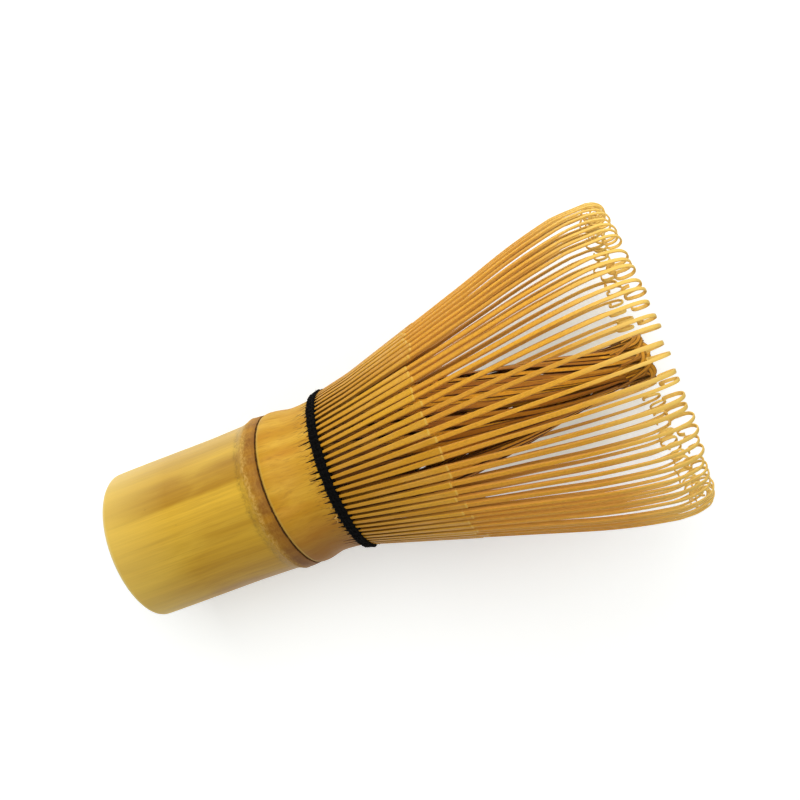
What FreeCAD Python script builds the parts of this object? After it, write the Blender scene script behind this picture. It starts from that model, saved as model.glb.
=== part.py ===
"""Bamboo tea whisk, standing on its handle end.

One culm of bamboo, hollow, with its node left in. Above the node the wall is
split: eighty outer tines lean out and curl in at their tips, eighty inner tines
twist together on the axis, and a cotton thread wound round the roots holds the
two rows apart.

Millimetres. Z runs up the axis, and the origin is the centre of the foot.
Tines are made in groups of five, one group to each of sixteen primary splits.
"""

import FreeCAD
import Part
import math
import os

Vector = FreeCAD.Vector
UP = Vector(0, 0, 1)

# Culm
FOOT_RADIUS = 14.0
FOOT_ROUNDING = 0.7
BORE_RADIUS = 10.2
BORE_ROUNDING = 0.4

# Node: a raised band, the sheath groove above it, and a rounded shoulder
GROOVE_HEIGHT = 31.6
GROOVE_WIDTH = 0.44
GROOVE_DEPTH = 0.3
GROOVE_LIP_RISE = 0.48
BAND_BELOW_GROOVE = 1.9
BAND_RISE = 0.62
BAND_FOOT_BELOW_GROOVE = 7.6
SHOULDER_ABOVE_GROOVE = 1.3
SHOULDER_RISE = 0.56
WAIST_ABOVE_GROOVE = 5.9
WAIST_DROP = 0.14
SEPTUM_BELOW_GROOVE = 2.0
SEPTUM_THICKNESS = 1.8
SEPTUM_DISHING = 1.1

# Thread
THREAD_ABOVE_GROOVE = 10.5
THREAD_DIAMETER = 0.58
THREAD_TURNS = 3
THREAD_TURN_GAP = 0.04
THREAD_CLEARANCE = 0.03

# Splits
GROUPS = 16
TINES_PER_GROUP = 5
SPLIT_BELOW_THREAD = 2.8
SPLIT_SCATTER = 0.55
SPLIT_WIDTH = 0.3
ROOT_THICKNESS = 0.6
FLARE_BELOW_THREAD = 1.53
LEDGE_BELOW_THREAD = 3.6

# Outer tines
TINE_HEIGHT = 59.8
TINE_LEAN = 16.0
HINGE_GAP = 0.15
STEP_ABOVE_THREAD = 20.6
STEP_THICKNESS = 0.5
STEP_DEPTH = 0.1
STEP_WIDTH = 0.98
TIP_THICKNESS = 0.26
TIP_WIDTH = 0.62
STRAIGHT_END_BELOW_TOP = 21.9
BEND_BELOW_TOP = 6.9
BEND_LEAN = 7.5
CURL_LEAN = -18.0
CURL_SHOULDER_RADIUS = 2.3
CURL_SHOULDER_LEAN = -60.0
CURL_RADIUS = 1.15
CURL_LEG = 1.2
HOOK_RADIUS = 0.45
HOOK_TURN = 82.0

# Inner tines
INNER_TOP_BELOW_TOP = 2.4
HEAD_BELOW_TOP = 5.4
HEAD_RADIUS = 4.1
NECK_BELOW_TOP = 8.4
NECK_RADIUS = 3.7
BUNDLE_FULLNESS = 1.3
BUNDLE_SECTIONS = 8
INNER_SETBACK = 0.5
INNER_WIDTH = 0.5
INNER_SECTION_AREA = 0.21
INNER_GAP = 0.08
MOST_INNER_DEPTH = 0.3
TWIST_SLOPE = 0.158
HEAD_TWIST = 20.0

# Derived
TINES = GROUPS * TINES_PER_GROUP
PITCH = 360.0 / TINES
LEAN_SLOPE = math.tan(math.radians(TINE_LEAN))
WAIST_HEIGHT = GROOVE_HEIGHT + WAIST_ABOVE_GROOVE
THREAD_HEIGHT = GROOVE_HEIGHT + THREAD_ABOVE_GROOVE
THREAD_PITCH = THREAD_DIAMETER + THREAD_TURN_GAP
THREAD_BAND = THREAD_TURNS * THREAD_PITCH
TEETH_TOP = THREAD_HEIGHT + THREAD_BAND / 2
FLARE_HEIGHT = THREAD_HEIGHT - FLARE_BELOW_THREAD
LEDGE_HEIGHT = THREAD_HEIGHT - LEDGE_BELOW_THREAD
TINE_FOOT = TEETH_TOP + HINGE_GAP
STEP_HEIGHT = THREAD_HEIGHT + STEP_ABOVE_THREAD
OVERALL_HEIGHT = THREAD_HEIGHT + TINE_HEIGHT
WAIST_RADIUS = FOOT_RADIUS - WAIST_DROP

# The waist curves out into the lean over this share of the height between them
FLARE_SHARE = 0.62
ROOT_RADIUS = WAIST_RADIUS + FLARE_SHARE * LEAN_SLOPE * (TEETH_TOP - WAIST_HEIGHT)
INNER_ROOT_RADIUS = WAIST_RADIUS - ROOT_THICKNESS - INNER_SETBACK


def outside_radius(height):
    """Outer face of the leaning tine roots, above the flare."""
    return ROOT_RADIUS + LEAN_SLOPE * (height - TEETH_TOP)


def at(radius, height):
    return Vector(radius, 0, height)


def turned(shape, degrees):
    copy = shape.copy()
    copy.rotate(Vector(0, 0, 0), UP, degrees)
    return copy


def revolved(edges):
    return Part.Face(Part.Wire(edges)).revolve(Vector(0, 0, 0), UP, 360)


def line(start, end):
    return Part.LineSegment(start, end).toShape()


def smooth(points, start_direction, end_direction):
    curve = Part.BSplineCurve()
    curve.interpolate(
        Points=points, InitialTangent=start_direction, FinalTangent=end_direction
    )
    return curve.toShape()


def corner_arc(start, corner, end):
    """Quarter round from start to end, tangent to the sides that meet at corner."""
    chord_middle = (start + end) * 0.5
    centre = chord_middle * 2 - corner
    middle = centre + (corner - centre).normalize() * (start - centre).Length
    return Part.Arc(start, middle, end).toShape()


def culm_outline():
    """Half section of the culm, from the foot up the outside and down the bore."""
    foot_in = at(BORE_RADIUS + BORE_ROUNDING, 0)
    foot_out = at(FOOT_RADIUS - FOOT_ROUNDING, 0)
    side_start = at(FOOT_RADIUS, FOOT_ROUNDING)
    side_end = at(FOOT_RADIUS, GROOVE_HEIGHT - BAND_FOOT_BELOW_GROOVE)
    band_height = GROOVE_HEIGHT - BAND_BELOW_GROOVE
    groove_low = at(FOOT_RADIUS + GROOVE_LIP_RISE, GROOVE_HEIGHT - GROOVE_WIDTH / 2)
    groove_deep = at(FOOT_RADIUS + GROOVE_LIP_RISE - GROOVE_DEPTH, GROOVE_HEIGHT)
    groove_high = at(FOOT_RADIUS + GROOVE_LIP_RISE, GROOVE_HEIGHT + GROOVE_WIDTH / 2)
    band = [
        side_end,
        at(FOOT_RADIUS + BAND_RISE / 2, (side_end.z + 2 * band_height) / 3),
        at(FOOT_RADIUS + BAND_RISE, band_height),
        groove_low,
    ]
    shoulder = at(FOOT_RADIUS + SHOULDER_RISE, GROOVE_HEIGHT + SHOULDER_ABOVE_GROOVE)
    waist = at(WAIST_RADIUS, WAIST_HEIGHT)
    flare = at(outside_radius(FLARE_HEIGHT), FLARE_HEIGHT)
    teeth_out = at(outside_radius(TEETH_TOP), TEETH_TOP)
    teeth_in = teeth_out - at(ROOT_THICKNESS, 0)
    ledge_out = at(outside_radius(FLARE_HEIGHT) - ROOT_THICKNESS, FLARE_HEIGHT)
    wall_out = at(WAIST_RADIUS - ROOT_THICKNESS, LEDGE_HEIGHT)
    ledge_in = at(BORE_RADIUS, LEDGE_HEIGHT)
    bore_start = at(BORE_RADIUS, BORE_ROUNDING)
    leaning = Vector(LEAN_SLOPE, 0, 1)
    return [
        line(foot_in, foot_out),
        corner_arc(foot_out, at(FOOT_RADIUS, 0), side_start),
        line(side_start, side_end),
        smooth(band, UP, Vector(-0.2, 0, 1)),
        line(groove_low, groove_deep),
        line(groove_deep, groove_high),
        smooth([groove_high, shoulder, waist, flare], Vector(0.25, 0, 1), leaning),
        line(flare, teeth_out),
        line(teeth_out, teeth_in),
        line(teeth_in, ledge_out),
        line(ledge_out, wall_out),
        line(wall_out, ledge_in),
        line(ledge_in, bore_start),
        corner_arc(bore_start, at(BORE_RADIUS, 0), foot_in),
    ]


def split_cut(index):
    """Wedge taken out between two tine roots; the splits end at uneven heights."""
    uneven = (math.sin(2.4 * index) + math.sin(1.1 * index)) / 2
    end = THREAD_HEIGHT - SPLIT_BELOW_THREAD + SPLIT_SCATTER * uneven
    top = TEETH_TOP + 1
    half = SPLIT_WIDTH / 2 * (top - end) / (TEETH_TOP - end)
    inside = WAIST_RADIUS - 2 * ROOT_THICKNESS
    corners = [
        Vector(inside, 0, end),
        Vector(inside, half, top),
        Vector(inside, -half, top),
    ]
    wedge = Part.Face(Part.makePolygon(corners + corners[:1]))
    wedge = wedge.extrude(Vector(ROOT_RADIUS + 1 - inside, 0, 0))
    return turned(wedge, (index + 0.5) * PITCH)


def culm():
    body = revolved(culm_outline())
    return body.cut(Part.makeCompound([split_cut(i) for i in range(TINES)]))


def septum():
    """Dished wall across the bore at the node, hollow side up."""
    middle = GROOVE_HEIGHT - SEPTUM_BELOW_GROOVE
    bottom = middle - SEPTUM_THICKNESS / 2 - SEPTUM_DISHING
    height = SEPTUM_THICKNESS + SEPTUM_DISHING
    dish_radius = (BORE_RADIUS ** 2 + SEPTUM_DISHING ** 2) / (2 * SEPTUM_DISHING)
    disc = Part.makeCylinder(BORE_RADIUS, height, Vector(0, 0, bottom))
    under = Part.makeSphere(dish_radius, Vector(0, 0, bottom + dish_radius))
    over = under.translated(Vector(0, 0, SEPTUM_THICKNESS))
    return disc.common(under).cut(over)


class Path:
    """Plane curve in radius and height, with its offset on the outer side.

    The lean is the angle from straight up, positive outwards, in degrees.
    """

    def __init__(self, radius, height, lean, thickness):
        self.point = at(radius, height)
        self.lean = math.radians(lean)
        self.thickness = thickness
        self.inner = []
        self.outer = []

    def outward(self):
        return Vector(math.cos(self.lean), 0, -math.sin(self.lean))

    def outer_point(self):
        return self.point + self.outward() * self.thickness

    def run(self, length, thickness):
        start, outer_start = self.point, self.outer_point()
        ahead = Vector(math.sin(self.lean), 0, math.cos(self.lean))
        self.point = start + ahead * length
        self.thickness = thickness
        self.inner.append(line(start, self.point))
        self.outer.append(line(outer_start, self.outer_point()))

    def step(self, depth):
        outer_start = self.outer_point()
        self.thickness -= depth
        self.outer.append(line(outer_start, self.outer_point()))

    def bend(self, radius, lean):
        """Turns inwards about a centre on the inner side, until the lean is reached."""
        end = math.radians(lean)
        centre = self.point - self.outward() * radius

        def on_arc(angle, distance):
            return centre + Vector(math.cos(angle), 0, -math.sin(angle)) * distance

        middle = (self.lean + end) / 2
        for edges, distance in (
            (self.inner, radius),
            (self.outer, radius + self.thickness),
        ):
            ends = [on_arc(a, distance) for a in (self.lean, middle, end)]
            edges.append(Part.Arc(*ends).toShape())
        self.point = on_arc(end, radius)
        self.lean = end

    def face(self):
        cap = line(self.point, self.outer_point())
        foot = line(
            self.inner[0].valueAt(self.inner[0].FirstParameter),
            self.outer[0].valueAt(self.outer[0].FirstParameter),
        )
        edges = self.outer + [cap] + self.inner + [foot]
        return Part.Face(Part.Wire(Part.__sortEdges__(edges)))


def sine(degrees):
    return math.sin(math.radians(degrees))


def radius_for(rise, lean_start, lean_end):
    """Radius of the inward bend that climbs by rise between two leans."""
    return rise / (sine(lean_start) - sine(lean_end))


def curl_rise():
    return (
        CURL_SHOULDER_RADIUS * (sine(CURL_LEAN) - sine(CURL_SHOULDER_LEAN))
        + CURL_RADIUS * (1 + sine(CURL_SHOULDER_LEAN))
        + TIP_THICKNESS
    )


def outer_tine_face():
    """Side view of an outer tine: skin to the step, then pared to the curled tip."""
    path = Path(
        outside_radius(TINE_FOOT) - ROOT_THICKNESS, TINE_FOOT, TINE_LEAN, ROOT_THICKNESS
    )
    lean_cosine = math.cos(math.radians(TINE_LEAN))
    path.run((STEP_HEIGHT - TINE_FOOT) / lean_cosine, STEP_THICKNESS)
    path.step(STEP_DEPTH)
    straight_end = OVERALL_HEIGHT - STRAIGHT_END_BELOW_TOP
    bend_end = OVERALL_HEIGHT - BEND_BELOW_TOP
    curl_start = OVERALL_HEIGHT - curl_rise()
    path.run((straight_end - STEP_HEIGHT) / lean_cosine, TIP_THICKNESS)
    path.bend(radius_for(bend_end - straight_end, TINE_LEAN, BEND_LEAN), BEND_LEAN)
    path.bend(radius_for(curl_start - bend_end, BEND_LEAN, CURL_LEAN), CURL_LEAN)
    path.bend(CURL_SHOULDER_RADIUS, CURL_SHOULDER_LEAN)
    path.bend(CURL_RADIUS, -180)
    path.run(CURL_LEG, TIP_THICKNESS)
    path.bend(HOOK_RADIUS, -180 - HOOK_TURN)
    return path.face()


def root_width():
    """A tine root fills its pitch apart from the split beside it."""
    return math.radians(PITCH) * outside_radius(TEETH_TOP) - SPLIT_WIDTH


def outer_tine():
    reach = 2 * outside_radius(OVERALL_HEIGHT)
    side = outer_tine_face()
    side.translate(Vector(0, -STEP_WIDTH / 2, 0))
    blank = side.extrude(Vector(0, STEP_WIDTH, 0))
    half_widths = (
        (TINE_FOOT, root_width() / 2),
        (STEP_HEIGHT, STEP_WIDTH / 2),
        (OVERALL_HEIGHT, TIP_WIDTH / 2),
    )
    right = [Vector(0, half, height) for height, half in half_widths]
    left = [Vector(0, -half, height) for height, half in reversed(half_widths)]
    front = Part.Face(Part.makePolygon(right + left + right[:1]))
    return blank.common(front.extrude(Vector(reach, 0, 0)))


def inner_profile():
    """Outside of the inner bundle, as height and radius, from the ledge to its head."""
    ledge_to_neck = OVERALL_HEIGHT - NECK_BELOW_TOP - LEDGE_HEIGHT
    narrowing = INNER_ROOT_RADIUS - NECK_RADIUS
    points = []
    for section in range(BUNDLE_SECTIONS + 1):
        share = section / BUNDLE_SECTIONS
        radius = NECK_RADIUS + narrowing * (1 - share ** BUNDLE_FULLNESS)
        points.append((LEDGE_HEIGHT + share * ledge_to_neck, radius))
    points.append((OVERALL_HEIGHT - HEAD_BELOW_TOP, HEAD_RADIUS))
    points.append((OVERALL_HEIGHT - INNER_TOP_BELOW_TOP, HEAD_RADIUS))
    return points


def inner_section(height, outside, twist):
    """Rectangle across an inner tine at one height, narrower where the ring is small."""
    depth = INNER_SECTION_AREA / INNER_WIDTH
    for _ in range(12):
        free = math.radians(PITCH) * (outside - depth) - INNER_GAP
        width = min(INNER_WIDTH, free)
        depth = (depth + INNER_SECTION_AREA / max(width, INNER_GAP)) / 2
        depth = min(depth, MOST_INNER_DEPTH * outside)
    inside = outside - depth
    corners = [
        Vector(inside, -width / 2, height),
        Vector(outside, -width / 2, height),
        Vector(outside, width / 2, height),
        Vector(inside, width / 2, height),
    ]
    return turned(Part.makePolygon(corners + corners[:1]), twist)


def inner_tine():
    """One tine of the bundle, rising at a steady slant round it, more so at the head."""
    points = inner_profile()
    twist = 0.0
    sections = [inner_section(*points[0], twist)]
    for low, high in zip(points, points[1:]):
        mean_radius = (low[1] + high[1]) / 2
        twist += math.degrees(TWIST_SLOPE * (high[0] - low[0]) / mean_radius)
        if low[0] >= OVERALL_HEIGHT - NECK_BELOW_TOP:
            twist += HEAD_TWIST
        sections.append(inner_section(*high, twist))
    return Part.makeLoft(sections, True, True)


def thread_turns(centre_radius_at, turns):
    """Turns of thread lying side by side on the leaning roots, centred on THREAD_HEIGHT."""
    rings = []
    for turn in range(turns):
        height = THREAD_HEIGHT + (turn - (turns - 1) / 2) * THREAD_PITCH
        ring = Part.makeTorus(centre_radius_at(height), THREAD_DIAMETER / 2)
        ring.translate(Vector(0, 0, height))
        rings.append(ring)
    return Part.makeCompound(rings)


def clear_of_face():
    """How far the thread's centre stands off a leaning face, measured level."""
    return (THREAD_DIAMETER / 2 + THREAD_CLEARANCE) / math.cos(math.radians(TINE_LEAN))


def binding_thread():
    """Three turns outside the tine roots, and one behind them that parts the two rows."""
    outside = thread_turns(lambda z: outside_radius(z) + clear_of_face(), THREAD_TURNS)
    behind = thread_turns(
        lambda z: outside_radius(z) - ROOT_THICKNESS - clear_of_face(), 1
    )
    return Part.makeCompound([outside, behind])


def group_of(tine, group, offset):
    """Five tines about the group's middle, as separate solids."""
    middle = (TINES_PER_GROUP - 1) / 2
    turns = [
        (group * TINES_PER_GROUP + place - middle + offset) * PITCH
        for place in range(TINES_PER_GROUP)
    ]
    return Part.makeCompound([turned(tine, degrees) for degrees in turns])


def write(name, shape):
    shape.exportStep(os.path.join("parts", name + ".step"))
    volume = sum(solid.Volume for solid in shape.Solids)
    print(name, "solids", len(shape.Solids), "valid", shape.isValid(), "mm3", round(volume, 2))


def main():
    os.makedirs("parts", exist_ok=True)
    write("handle_culm", culm())
    write("node_septum", septum())
    write("binding_thread", binding_thread())
    outer, inner = outer_tine(), inner_tine()
    for group in range(GROUPS):
        write("outer_tines_%02d" % (group + 1), group_of(outer, group, 0))
        write("inner_tines_%02d" % (group + 1), group_of(inner, group, 0.5))


main()
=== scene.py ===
import math
import random

import bmesh
import bpy
import numpy as np
from mathutils import Matrix, Vector


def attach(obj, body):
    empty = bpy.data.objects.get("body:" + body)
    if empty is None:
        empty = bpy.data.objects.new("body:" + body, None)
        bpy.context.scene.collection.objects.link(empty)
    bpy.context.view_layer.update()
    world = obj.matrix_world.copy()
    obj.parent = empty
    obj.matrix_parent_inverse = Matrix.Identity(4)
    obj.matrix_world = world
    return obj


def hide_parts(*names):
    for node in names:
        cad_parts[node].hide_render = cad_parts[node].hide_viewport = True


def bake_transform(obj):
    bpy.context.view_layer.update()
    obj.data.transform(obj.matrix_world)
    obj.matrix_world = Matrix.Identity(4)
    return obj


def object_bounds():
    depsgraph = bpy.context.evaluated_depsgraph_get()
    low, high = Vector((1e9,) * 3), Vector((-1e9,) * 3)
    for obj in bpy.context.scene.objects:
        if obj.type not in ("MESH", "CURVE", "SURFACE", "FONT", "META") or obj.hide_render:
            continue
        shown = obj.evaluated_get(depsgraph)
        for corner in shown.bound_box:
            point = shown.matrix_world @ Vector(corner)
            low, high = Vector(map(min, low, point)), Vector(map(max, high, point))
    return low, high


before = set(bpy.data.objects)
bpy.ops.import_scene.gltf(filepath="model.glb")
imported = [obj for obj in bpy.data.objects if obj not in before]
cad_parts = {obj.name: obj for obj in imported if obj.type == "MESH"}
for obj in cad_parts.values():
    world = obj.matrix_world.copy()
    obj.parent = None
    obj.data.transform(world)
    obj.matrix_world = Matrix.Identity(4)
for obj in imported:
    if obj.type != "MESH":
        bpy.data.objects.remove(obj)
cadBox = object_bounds()
print("frame loaded,", len(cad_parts), "nodes")

mm = 0.001    # guides and outlines below are in millimetres, and become metres in placeMesh

# sizes that every piece shares; heights are those of a level node, before nodeLevel lifts them
whisk = {
    "groups": 16,
    "tinesPerGroup": 5,
    "threadHeight": 42.1,
    "tineTop": cadBox[1].z / mm,
    "lean": math.radians(16.0),
    "rootRadius": 14.565,      # outer face of the tines at the thread's middle
    "rootThickness": 0.6,
    "ledgeHeight": 38.5,       # the inner tines stand here, inside the sleeve
    "outOfRound": 0.05,
}
whisk["tines"] = whisk["groups"] * whisk["tinesPerGroup"]
whisk["pitch"] = 2 * math.pi / whisk["tines"]


def leaningRadius(height):
    return whisk["rootRadius"] + math.tan(whisk["lean"]) * (height - whisk["threadHeight"])


def tineAngle(tine):
    middle = (whisk["tinesPerGroup"] - 1) / 2
    return (tine - middle) * whisk["pitch"]


def onRing(radius, angle, height):
    return radius * math.cos(angle), radius * math.sin(angle), height


def directions(angles):
    # straight out from the axis, and round it
    away = np.stack([np.cos(angles), np.sin(angles), 0 * angles], -1)
    around = np.stack([-np.sin(angles), np.cos(angles), 0 * angles], -1)
    return away, around


def ramp(value, start, end):
    # 0 at start and 1 at end, level past both
    return np.clip((value - start) / (end - start), 0, 1)


def smoothRamp(value, start, end):
    share = ramp(value, start, end)
    return share * share * (3 - 2 * share)


def taper(sizes, first, last, share):
    return sizes[first] + (sizes[last] - sizes[first]) * share


# small tools for meshes and node trees

def addObject(name, data):
    piece = bpy.data.objects.new(name, data)
    bpy.context.scene.collection.objects.link(piece)
    return piece


def placeMesh(name, points, faces, edges=()):
    mesh = bpy.data.meshes.new(name)
    mesh.from_pydata([Vector(p) * mm for p in points], edges, faces)
    return addObject(name, mesh)


def keepValues(piece, name, values, kind="FLOAT"):
    layer = piece.data.attributes.new(name, kind, "POINT")
    layer.data.foreach_set("value" if kind == "FLOAT" else "vector", np.array(values, np.float32).ravel())


def faceOutwards(piece, mergeDistance=0.0):
    work = bmesh.new()
    work.from_mesh(piece.data)
    if mergeDistance:
        bmesh.ops.remove_doubles(work, verts=work.verts, dist=mergeDistance)
    bmesh.ops.recalc_face_normals(work, faces=work.faces)
    work.to_mesh(piece.data)
    work.free()


def smoothCurve(points, steps):
    # a curve through the points, with no kink at any of them
    points = [np.array(p, float) for p in points]
    ends = [2 * points[0] - points[1]] + points + [2 * points[-1] - points[-2]]
    curve = []
    for before, a, b, after in zip(ends, ends[1:], ends[2:], ends[3:]):
        for step in range(steps):
            t = step / steps
            curve.append(0.5 * (2 * a + (b - before) * t
                                + (2 * before - 5 * a + 4 * b - after) * t ** 2
                                + (3 * a - before - 3 * b + after) * t ** 3))
    return curve + [points[-1]]


def addNode(tree, kind, inputs=None, **settings):
    node = tree.nodes.new(kind)
    for setting, value in settings.items():
        setattr(node, setting, value)
    for socket, value in (inputs or {}).items():
        if isinstance(value, bpy.types.NodeSocket):
            tree.links.new(value, node.inputs[socket])
        else:
            node.inputs[socket].default_value = value
    return node


def newTree(name, sockets):
    # the kind of each named input follows from its value; the one with none is the material
    kinds = {int: "NodeSocketInt", float: "NodeSocketFloat", type(None): "NodeSocketMaterial"}
    tree = bpy.data.node_groups.new(name, "GeometryNodeTree")
    tree.interface.new_socket("Geometry", in_out="INPUT", socket_type="NodeSocketGeometry")
    for label, value in sockets.items():
        made = tree.interface.new_socket(label, in_out="INPUT", socket_type=kinds[type(value)])
        if value is not None:
            made.default_value = value
    tree.interface.new_socket("Geometry", in_out="OUTPUT", socket_type="NodeSocketGeometry")
    return tree, tree.nodes.new("NodeGroupInput").outputs, tree.nodes.new("NodeGroupOutput")


def finishTree(tree, geometry, material, out):
    real = addNode(tree, "GeometryNodeRealizeInstances", {"Geometry": geometry})
    coloured = addNode(tree, "GeometryNodeSetMaterial", {"Geometry": real.outputs[0], "Material": material})
    tree.links.new(coloured.outputs[0], out.inputs[0])


def readAttribute(tree, name, kind="FLOAT"):
    return addNode(tree, "GeometryNodeInputNamedAttribute", {"Name": name}, data_type=kind).outputs["Attribute"]


def readVector(tree, name):
    return readAttribute(tree, name, "FLOAT_VECTOR")


def storeAttribute(tree, geometry, name, value, kind="FLOAT"):
    return addNode(tree, "GeometryNodeStoreNamedAttribute", {
        "Geometry": geometry, "Name": name, "Value": value,
    }, data_type=kind).outputs[0]


def calculate(tree, operation, a, b=0.0):
    return addNode(tree, "ShaderNodeMath", {0: a, 1: b}, operation=operation).outputs[0]


def times(tree, a, b):
    return calculate(tree, "MULTIPLY", a, b)


def plus(tree, a, b):
    return calculate(tree, "ADD", a, b)


def minus(tree, a, b):
    return calculate(tree, "SUBTRACT", a, b)


def larger(tree, a, b):
    return calculate(tree, "MAXIMUM", a, b)


def sizeOf(tree, value):
    return calculate(tree, "ABSOLUTE", value)


def vectorMath(tree, operation, a, b=(0, 0, 0)):
    return addNode(tree, "ShaderNodeVectorMath", {0: a, 1: b}, operation=operation).outputs


def scaled(tree, vector, amount):
    return addNode(tree, "ShaderNodeVectorMath", {0: vector, "Scale": amount}, operation="SCALE").outputs[0]


def added(tree, a, b):
    return vectorMath(tree, "ADD", a, b)[0]


def alongStrip(tree, sideShift, outShift):
    # a shift across a strip and a shift through it, as one vector
    return added(tree, scaled(tree, readVector(tree, "side"), sideShift),
                 scaled(tree, readVector(tree, "out"), outShift))


def growPiece(name, guide, tree, settings):
    # runs the tree on the guide, and keeps the result as a plain mesh
    modifier = guide.modifiers.new("grow", "NODES")
    modifier.node_group = tree
    for item in tree.interface.items_tree:
        if item.in_out == "INPUT" and item.name in settings:
            modifier[item.identifier] = settings[item.name]
    guide.update_tag()
    bpy.context.view_layer.update()
    graph = bpy.context.evaluated_depsgraph_get()
    mesh = bpy.data.meshes.new_from_object(guide.evaluated_get(graph), depsgraph=graph)
    mesh.name = name
    guide.modifiers.remove(modifier)
    bpy.data.objects.remove(guide)
    return addObject(name, mesh)


# geometry node trees

def makeStripTree():
    # sweeps a squared section along every guide; width and thickness come from the guide
    tree, given, out = newTree("sweptStrip", {
        "Corners": 8,
        "Squareness": 0.35,
        "Width": 1.0,
        "Thickness": 1.0,
        "Unevenness": 0.0,
        "Uneven Scale": 60.0,
        "Seed": 0.0,
        "Sharp Angle": 0.5,
        "Material": None,
    })
    position = addNode(tree, "GeometryNodeInputPosition").outputs[0]
    centred = storeAttribute(tree, given["Geometry"], "centre", position, "FLOAT_VECTOR")
    path = addNode(tree, "GeometryNodeMeshToCurve", {"Mesh": centred})

    # section: a circle pushed out towards a square, with its corners kept
    circle = addNode(tree, "GeometryNodeCurvePrimitiveCircle", {
        "Resolution": given["Corners"], "Radius": 1.0,
    })
    turned = addNode(tree, "ShaderNodeVectorRotate", {
        "Vector": position,
        "Angle": calculate(tree, "DIVIDE", math.pi, given["Corners"]),
    }, rotation_type="Z_AXIS")
    parts = addNode(tree, "ShaderNodeSeparateXYZ", {0: turned.outputs[0]})
    squared = []
    for axis in (0, 1):
        size = sizeOf(tree, parts.outputs[axis])
        pushed = calculate(tree, "POWER", size, given["Squareness"])
        squared.append(times(tree, pushed, calculate(tree, "SIGN", parts.outputs[axis])))
    section = circle.outputs["Curve"]
    for name, value in (("across", squared[0]), ("depth", squared[1])):
        section = storeAttribute(tree, section, name, value)
    swept = addNode(tree, "GeometryNodeCurveToMesh", {
        "Curve": path.outputs[0], "Profile Curve": section, "Scale": 0.001, "Fill Caps": True,
    })

    # a slow waver makes no two strips alike
    uneven = addNode(tree, "ShaderNodeTexNoise", {
        "Vector": readVector(tree, "centre"),
        "W": plus(tree, given["Seed"], readAttribute(tree, "tone")),
        "Scale": given["Uneven Scale"], "Detail": 1.0,
    }, noise_dimensions="4D")
    waver = times(tree, minus(tree, uneven.outputs[0], 0.5), given["Unevenness"])
    halfWide = times(tree, readAttribute(tree, "halfWide"), given["Width"])
    halfThick = times(tree, readAttribute(tree, "halfThick"), given["Thickness"])
    acrossShift = plus(tree, times(tree, halfWide, readAttribute(tree, "across")), waver)
    depthShift = times(tree, halfThick, readAttribute(tree, "depth"))
    placed = addNode(tree, "GeometryNodeSetPosition", {
        "Geometry": swept.outputs[0],
        "Position": added(tree, readVector(tree, "centre"), alongStrip(tree, acrossShift, depthShift)),
    })
    soft = addNode(tree, "GeometryNodeSetShadeSmooth", {"Geometry": placed.outputs[0], "Shade Smooth": True})
    sharp = addNode(tree, "FunctionNodeCompare", {
        0: addNode(tree, "GeometryNodeInputMeshEdgeAngle").outputs[0], 1: given["Sharp Angle"],
    }, data_type="FLOAT", operation="GREATER_THAN")
    edged = addNode(tree, "GeometryNodeSetShadeSmooth", {
        "Geometry": soft.outputs[0], "Selection": sharp.outputs[0], "Shade Smooth": False,
    }, domain="EDGE")
    finishTree(tree, edged.outputs[0], given["Material"], out)
    return tree


def makeTwistTree():
    # lays several plies round each guide, as in a twisted thread
    tree, given, out = newTree("twistedThread", {
        "Plies": 2,
        "Ply Radius": 0.0002,
        "Twist Length": 0.001,
        "Sides": 6,
        "Material": None,
    })
    path = addNode(tree, "GeometryNodeMeshToCurve", {"Mesh": given["Geometry"]})
    run = addNode(tree, "GeometryNodeSplineParameter")
    lengthKept = storeAttribute(tree, path.outputs[0], "run", run.outputs["Length"])
    copies = addNode(tree, "GeometryNodeDuplicateElements", {
        "Geometry": lengthKept, "Amount": given["Plies"],
    }, domain="SPLINE")
    share = calculate(tree, "DIVIDE", copies.outputs["Duplicate Index"], given["Plies"])
    turns = calculate(tree, "DIVIDE", readAttribute(tree, "run"), given["Twist Length"])
    angle = times(tree, plus(tree, turns, share), 2 * math.pi)
    offset = alongStrip(tree, calculate(tree, "COSINE", angle), calculate(tree, "SINE", angle))
    moved = addNode(tree, "GeometryNodeSetPosition", {
        "Geometry": copies.outputs["Geometry"],
        "Offset": scaled(tree, offset, times(tree, given["Ply Radius"], 0.85)),
    })
    section = addNode(tree, "GeometryNodeCurvePrimitiveCircle", {
        "Resolution": given["Sides"], "Radius": given["Ply Radius"],
    })
    swept = addNode(tree, "GeometryNodeCurveToMesh", {
        "Curve": moved.outputs[0], "Profile Curve": section.outputs["Curve"], "Fill Caps": True,
    })
    soft = addNode(tree, "GeometryNodeSetShadeSmooth", {"Geometry": swept.outputs[0], "Shade Smooth": True})
    finishTree(tree, soft.outputs[0], given["Material"], out)
    return tree


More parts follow.
